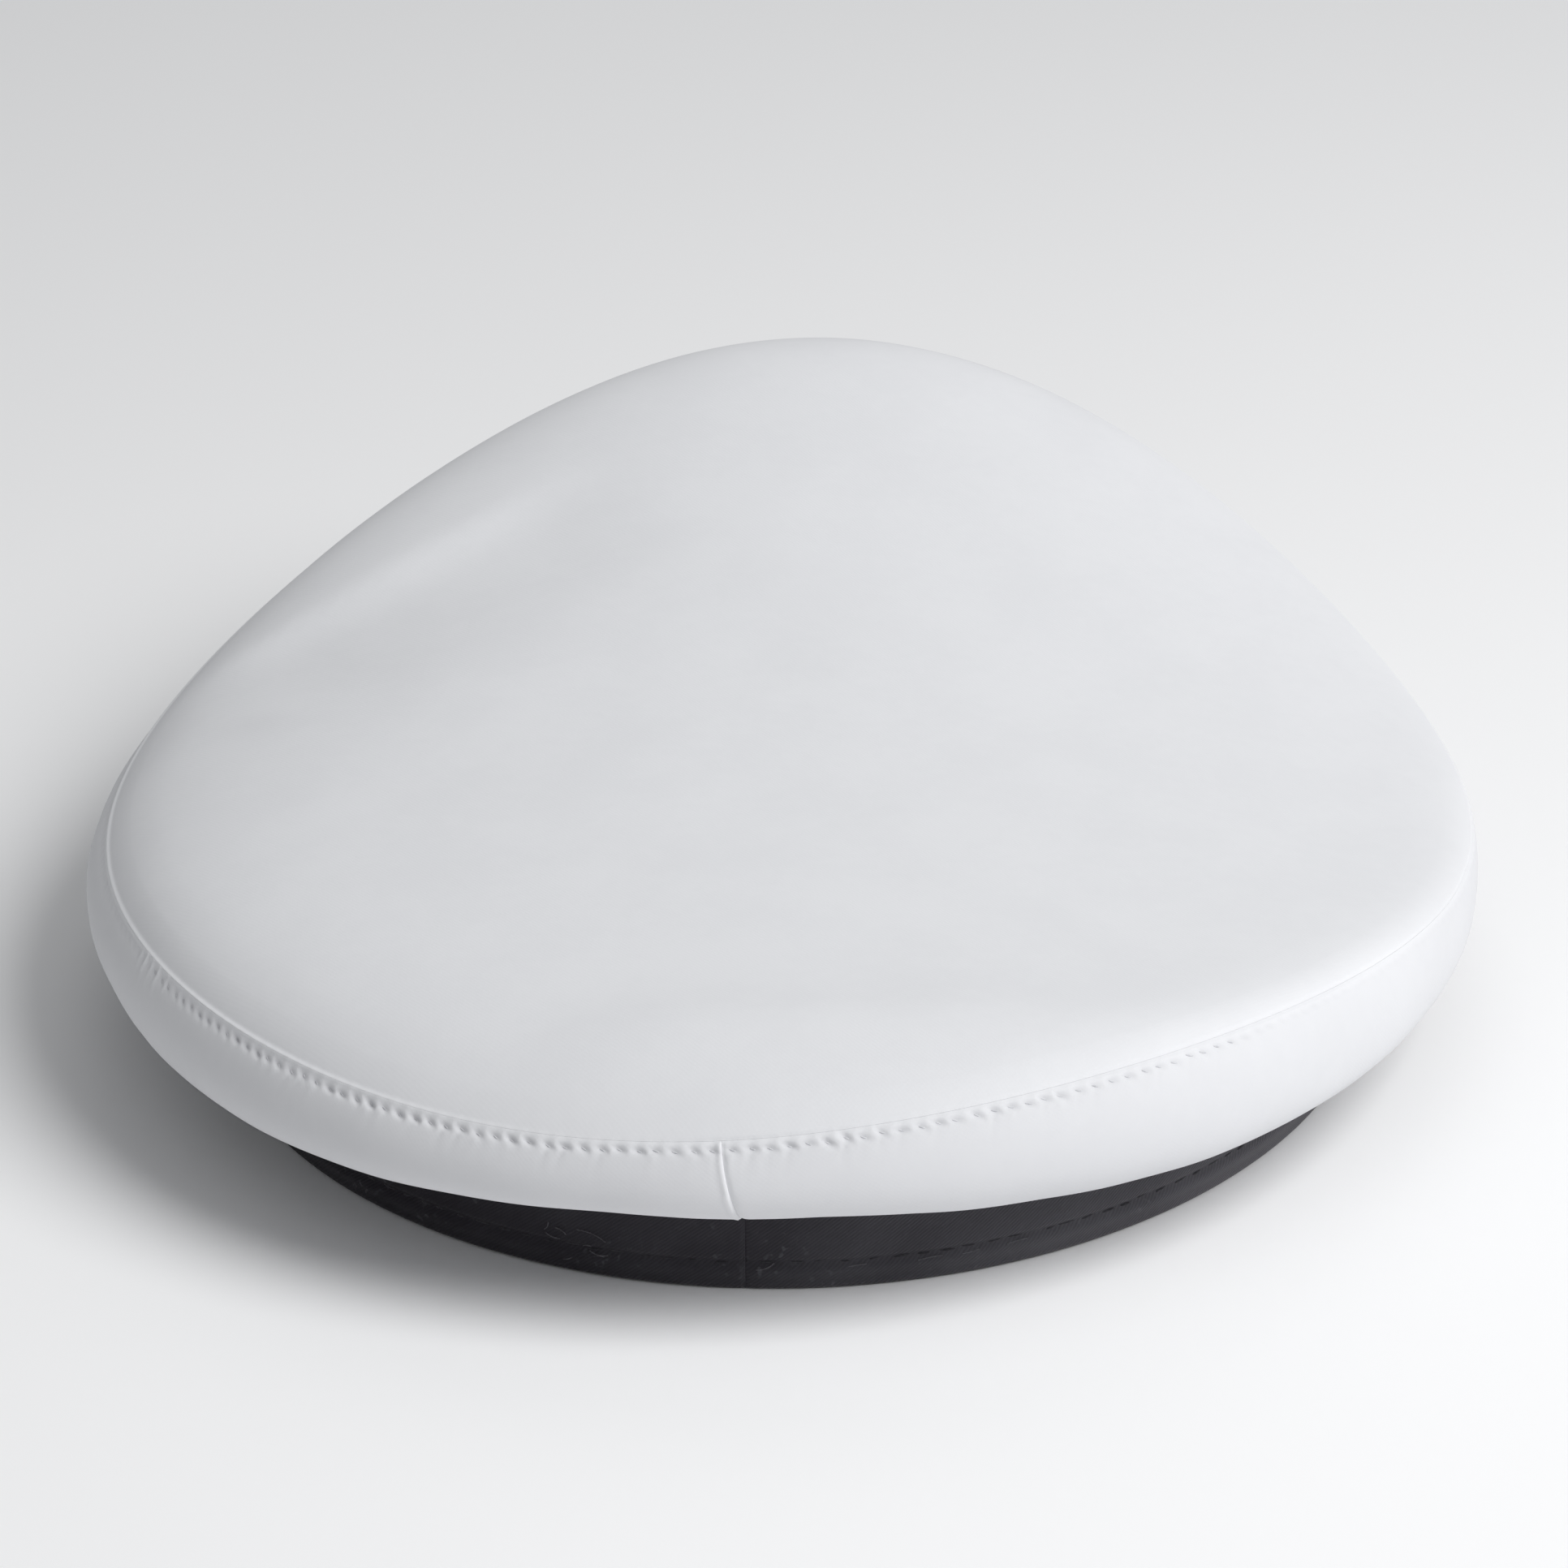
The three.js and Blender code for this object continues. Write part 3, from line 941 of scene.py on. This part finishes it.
def bandPath():
    run = endedRuns(bandLength, bandStrip["columns"], bandStrip["endColumns"], bandStrip["endZone"])
    angle = np.interp(run, bandRuns, bandAngles)
    path = bpy.data.meshes.new("bandPath")
    edges = [(step, step + 1) for step in range(len(run) - 1)]
    path.from_pydata(bandPoint(angle, 0 * angle, 0.0).tolist(), edges, [])
    path.attributes.new("run", "FLOAT", "POINT").data.foreach_set("value", run)
    outward = path.attributes.new("outward", "FLOAT_VECTOR", "POINT")
    outward.data.foreach_set("vector", bandOutward(angle).ravel())
    return path


def bandTree():
    wire, given = shapeTree("sweptBand", bandSizes)
    path = wire.node("GeometryNodeMeshToCurve", {}, {"Mesh": given["Geometry"]})
    path = wire.node("GeometryNodeSetCurveNormal", {"mode": "Z_UP"}, {"Curve": path})
    section = {"Width": given["Wall"], "Height": given["Height"]}
    profile = wire.node("GeometryNodeCurvePrimitiveQuadrilateral", {}, section)
    corners = {"Curve": profile, "Radius": given["Edge Round"], "Count": bandStrip["cornerSteps"]}
    profile = wire.node("GeometryNodeFilletCurve", {"mode": "POLY"}, corners)
    spread = {"Curve": profile, "Length": given["Profile Step"]}
    profile = wire.node("GeometryNodeResampleCurve", {"mode": "LENGTH"}, spread)
    seat = wire.node("ShaderNodeCombineXYZ", {}, {"X": 0.5 * given["Wall"], "Y": -0.5 * given["Height"]})
    profile = wire.node("GeometryNodeTransform", {}, {"Geometry": profile, "Translation": seat})
    swept = {"Curve": path, "Profile Curve": profile, "Fill Caps": True}
    strip = wire.node("GeometryNodeCurveToMesh", {}, swept)

    run = attributeWire(wire, "run", "FLOAT")
    outward = attributeWire(wire, "outward", "FLOAT_VECTOR")
    place = wire.node("GeometryNodeInputPosition", {}, {})
    rise = wire.node("ShaderNodeSeparateXYZ", {}, {0: place}, "Z")
    flat = wire.node("ShaderNodeCombineXYZ", {}, {"X": run, "Y": rise})
    mapped = {"Geometry": strip, "Name": "clothRun", "Value": flat}
    kept = {"data_type": "FLOAT2", "domain": "CORNER"}
    strip = wire.node("GeometryNodeStoreNamedAttribute", kept, mapped)

    normals = {0: wire.node("GeometryNodeInputNormal", {}, {}), 1: outward}
    facing = wire.node("ShaderNodeVectorMath", {"operation": "DOT_PRODUCT"}, normals, "Value")
    outside = facing.between(*bandStrip["outsideRange"])
    aboveLine = rise - given["Stitch Height"]
    groove = given["Groove Depth"] * (aboveLine / given["Groove Width"]).bell()
    lip = given["Lip Height"] * ((aboveLine + given["Lip Below"]) / given["Lip Below"]).bell()
    toEnd = wire.math("MINIMUM", run, bandLength - run)
    ended = given["End Round"] * (toEnd / given["End Round"]).bell()
    cloud = {"Vector": place, "Scale": given["Slack Scale"], "Detail": bandStrip["slackDetail"]}
    slack = given["Slack"] * (wire.node("ShaderNodeTexNoise", {}, cloud, "Fac") - 0.5)
    shift = {0: outward, "Scale": outside * (slack + lip - groove - ended)}
    shift = wire.node("ShaderNodeVectorMath", {"operation": "SCALE"}, shift)
    strip = wire.node("GeometryNodeSetPosition", {}, {"Geometry": strip, "Offset": shift})
    return endTree(wire, strip, given["Material"])


bandPiece = growPiece("bandStrip", bandPath(), bandTree(), bandSizes)
print("band:", len(bandPiece.data.polygons), "faces")

# Stitches, one thread bead between two needle holes

rimStitch = {
    "Length": 1.3 * mm,
    "Thickness": 0.24 * mm,
    "Slant": -rimSeam["holeSlant"],
    "Slant Luck": math.radians(7),
    "Size Luck": 0.18,
    "Seed": 11,
    "Material": shadedWhiteThread,
}
bandStitch = {
    "Length": 2.5 * mm,
    "Thickness": 0.42 * mm,
    "Slant": math.radians(4),
    "Slant Luck": math.radians(9),
    "Size Luck": 0.25,
    "Seed": 23,
    "Material": darkThread,
}
stitchBead = {"Segments": 8, "Rings": 6, "Radius": 0.5}


def stitchTree():
    wire, given = shapeTree("stitchRow", rimStitch)
    bead = wire.node("GeometryNodeMeshUVSphere", {}, stitchBead)
    size = {"X": given["Length"], "Y": given["Thickness"], "Z": given["Thickness"]}
    size = wire.node("ShaderNodeCombineXYZ", {}, size)
    bead = wire.node("GeometryNodeTransform", {}, {"Geometry": bead, "Scale": size})
    axes = {
        "Primary Axis": attributeWire(wire, "threadOut", "FLOAT_VECTOR"),
        "Secondary Axis": attributeWire(wire, "threadAlong", "FLOAT_VECTOR"),
    }
    rule = {"primary_axis": "Z", "secondary_axis": "X"}
    turn = wire.node("FunctionNodeAxesToRotation", rule, axes)
    wander = {"Min": -1 * given["Slant Luck"], "Max": given["Slant Luck"], "Seed": given["Seed"]}
    wander = wire.node("FunctionNodeRandomValue", {"data_type": "FLOAT"}, wander)
    lean = wire.node("ShaderNodeCombineXYZ", {}, {"Z": given["Slant"] + wander})
    lean = wire.node("FunctionNodeEulerToRotation", {}, {"Euler": lean})
    turned = {"Rotation": turn, "Rotate By": lean}
    turn = wire.node("FunctionNodeRotateRotation", {"rotation_space": "LOCAL"}, turned)
    limits = {"Min": 1 - given["Size Luck"], "Max": 1 + given["Size Luck"], "Seed": given["Seed"] + 1}
    grow = wire.node("FunctionNodeRandomValue", {"data_type": "FLOAT"}, limits)
    grow = wire.node("ShaderNodeCombineXYZ", {}, {"X": grow, "Y": 1.0, "Z": 1.0})
    placed = {"Points": given["Geometry"], "Instance": bead, "Rotation": turn, "Scale": grow}
    row = wire.node("GeometryNodeInstanceOnPoints", {}, placed)
    return endTree(wire, row, given["Material"])


def stitchPlaces(name, points, outward, along):
    places = bpy.data.meshes.new(name)
    places.from_pydata(points.tolist(), [], [])
    for label, vectors in (("threadOut", outward), ("threadAlong", along)):
        places.attributes.new(label, "FLOAT_VECTOR", "POINT").data.foreach_set("vector", vectors.ravel())
    return places


def rimPlaces():
    alongLuck, dropLuck = stitchLuck[:-1, :2].T
    run = (np.arange(rimSeam["stitches"]) + 0.5 + rimSeam["alongLuck"] * alongLuck) * stitchPitch
    drop = stitchDrop(angleAt(run)) + rimSeam["dropLuck"] * dropLuck
    pull = seamProfile(angleAt(run))[-1]
    shown = pull > rimSeam["leastPull"]
    run, drop = run[shown], drop[shown]
    columns = np.array([np.abs(sideRuns - place).argmin() for place in run])
    angle, time = sideAt(columns, drop)
    outward = outwardNormal(sidePoint, angle, time)
    step = capForm["slopeStep"]
    along = unit(sidePoint(angle + step, time) - sidePoint(angle - step, time))
    points = sideOuter(columns, drop)["points"]
    return stitchPlaces("rimPlaces", points, outward, along)


def bandPlaces():
    count = bandStrip["stitches"]
    alongLuck, heightLuck = np.random.default_rng(bandStrip["seed"]).normal(size=(count - 1, 2)).T
    run = (np.arange(1, count) + bandStrip["alongLuck"] * alongLuck) * bandLength / count
    angle = np.interp(run, bandRuns, bandAngles)
    height = bandSizes["Stitch Height"] + bandStrip["heightLuck"] * heightLuck
    outward = bandOutward(angle)
    along = unit(np.cross(outward, np.array((0, 0, 1.0))))
    depth = np.full(len(run), -bandStrip["threadSink"])
    return stitchPlaces("bandPlaces", bandPoint(angle, depth, height), outward, along)


stitching = stitchTree()
rimThread = growPiece("rimStitches", rimPlaces(), stitching, rimStitch)
bandThread = growPiece("bandStitches", bandPlaces(), stitching, bandStitch)
print("stitches:", len(rimThread.data.polygons) + len(bandThread.data.polygons), "faces")

# Loose fibres on the band

looseFibre = {
    "Thickness": 0.14 * mm,
    "Sides": 6,
    "Material": paleFibre,
}
fibreOut = 0.22 * mm
fibreShares = np.linspace(-0.5, 0.5, 7)

# Degrees as above, height on the band and length in millimetres, degrees of rise towards the
# wearer's right, and bow in millimetres.
fibreRows = (
    (13.9, 6.0, 4.3, -16, 0.4),
    (17.6, 5.0, 2.2, -13, -0.2),
    (16.8, 5.9, 1.8, -25, 0.2),
    (13.2, 3.6, 2.6, -7, -0.3),
    (13.1, 3.0, 1.9, 2, 0.2),
    (14.3, 4.4, 1.2, 4, 0.1),
    (16.2, 2.0, 1.4, 21, -0.1),
    (18.2, 6.3, 1.4, -118, 0.2),
    (-1.8, 3.6, 2.6, 23, -0.3),
    (-9.9, 3.3, 2.6, 6, 0.1),
    (-16.5, 3.3, 3.4, 4, 0.1),
    (-20.2, 3.3, 2.4, 6, -0.1),
    (-24.6, 3.4, 3.0, 4, 0.1),
)


def fibreTree():
    wire, given = shapeTree("fibres", looseFibre)
    path = wire.node("GeometryNodeMeshToCurve", {}, {"Mesh": given["Geometry"]})
    section = {"Resolution": given["Sides"], "Radius": 0.5 * given["Thickness"]}
    section = wire.node("GeometryNodeCurvePrimitiveCircle", {}, section)
    swept = {"Curve": path, "Profile Curve": section, "Fill Caps": True}
    return endTree(wire, wire.node("GeometryNodeCurveToMesh", {}, swept), given["Material"])


def fibrePaths():
    points, edges = [], []
    for around, height, length, rise, bow in fibreRows:
        cosine, sine = math.cos(math.radians(rise)), math.sin(math.radians(rise))
        bend = bow * (1 - 4 * fibreShares**2)
        aside = (length * fibreShares * cosine - bend * sine) * mm
        lift = (length * fibreShares * sine + bend * cosine) * mm
        middle = np.interp(math.radians(around) % (2 * math.pi), bandAngles, bandRuns)
        angle = np.interp(np.mod(middle - aside, bandLength), bandRuns, bandAngles)
        first = len(points)
        points.extend(bandPoint(angle, np.full(len(angle), fibreOut), height * mm + lift).tolist())
        edges.extend((step, step + 1) for step in range(first, len(points) - 1))
    paths = bpy.data.meshes.new("fibrePaths")
    paths.from_pydata(points, edges, [])
    return paths


fibres = growPiece("looseFibres", fibrePaths(), fibreTree(), looseFibre)
print("fibres:", len(fibres.data.polygons), "faces")

# What carries what

for piece, slot, nodes in (
    (topPiece, "crown_cloth", ["crown_top"]),
    (sidePiece, "crown_cloth", ["crown_side"]),
    (bandPiece, "band_cloth", ["band"]),
    (rimThread, "crown_cloth", []),
    (bandThread, "band_cloth", []),
    (fibres, "band_cloth", []),
):
    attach(piece, "root")
    if nodes:
        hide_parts(*nodes)

# The studio

studio = {
    "floorSize": 12.0,
    "floorSink": 0.15 * mm,
    "floorFinish": {
        "Base Color": (0.96, 0.96, 0.965, 1),
        "Roughness": 0.9,
        "Specular IOR Level": 0.1,
    },
    "sky": (0.97, 0.985, 1.0, 1),
    "skyStrength": 0.325,
    "lampDistance": 1.3,
    "aim": Vector((0, 0, 0.03)),
}

# Degrees round from the back towards the wearer's left, degrees up, width and watts.
lampRows = {
    "keyLight": (300, 45, 0.9, 14.0),
    "frontFill": (180, 45, 0.9, 1.2),
}


def makeFloor():
    material = newFinish("paleFloor", studio["floorFinish"])[0]
    half = studio["floorSize"] / 2
    corners = [(-half, -half), (half, -half), (half, half), (-half, half)]
    mesh = bpy.data.meshes.new("floor")
    mesh.from_pydata([(x, y, -studio["floorSink"]) for x, y in corners], [], [(0, 1, 2, 3)])
    return linkPiece("floor", mesh, material)


def awayAt(around, rise):
    return Vector((math.sin(around) * math.cos(rise), math.cos(around) * math.cos(rise), math.sin(rise)))


def makeLights():
    world = bpy.data.worlds.new("studio")
    bpy.context.scene.world = world
    world.use_nodes = True
    sky = world.node_tree.nodes["Background"]
    sky.inputs["Color"].default_value = studio["sky"]
    sky.inputs["Strength"].default_value = studio["skyStrength"]
    for name, (around, rise, width, power) in lampRows.items():
        light = bpy.data.lights.new(name, "AREA")
        light.shape = "DISK"
        light.size = width
        light.energy = power
        lamp = bpy.data.objects.new(name, light)
        away = awayAt(math.radians(around), math.radians(rise))
        lamp.location = studio["aim"] + away * studio["lampDistance"]
        lamp.rotation_euler = away.to_track_quat("Z", "Y").to_euler()
        bpy.context.scene.collection.objects.link(lamp)


makeFloor()
makeLights()
bpy.context.scene.view_settings.view_transform = "Standard"

# The camera: the photo's view, found from the band's lower edge.

photo = {
    "pixels": 1932,
    "rise": math.radians(23),
    "turn": math.radians(-3.793),
    "roll": math.radians(-0.429),
    "distance": 0.8,
    "aim": Vector((0, 0, 0.03)),
    "focalPixels": 6649.1,
    "middleX": 976.13,
    "middleY": 962.43,
    "sensorWidth": 36,
    "nearClip": 0.01,
}


def makeCamera():
    rise, turn, roll = photo["rise"], photo["turn"], photo["roll"]
    back = awayAt(turn, rise)
    level = (-back).cross(Vector((0, 0, 1))).normalized()
    upright = level.cross(-back)
    right = math.cos(roll) * level + math.sin(roll) * upright
    up = math.cos(roll) * upright - math.sin(roll) * level
    asideX = (photo["pixels"] / 2 - photo["middleX"]) / photo["focalPixels"]
    asideY = (photo["pixels"] / 2 - photo["middleY"]) / photo["focalPixels"]
    sight = (-back + right * asideX - up * asideY).normalized()
    right = (right - sight * right.dot(sight)).normalized()
    up = right.cross(sight)
    data = bpy.data.cameras.new("photoCamera")
    data.sensor_width = photo["sensorWidth"]
    data.lens = photo["sensorWidth"] * photo["focalPixels"] / photo["pixels"]
    data.clip_start = photo["nearClip"]
    camera = bpy.data.objects.new("photoCamera", data)
    turned = Matrix((right, up, -sight)).transposed().to_4x4()
    camera.matrix_world = Matrix.Translation(photo["aim"] + back * photo["distance"]) @ turned
    bpy.context.scene.collection.objects.link(camera)
    bpy.context.scene.camera = camera


makeCamera()
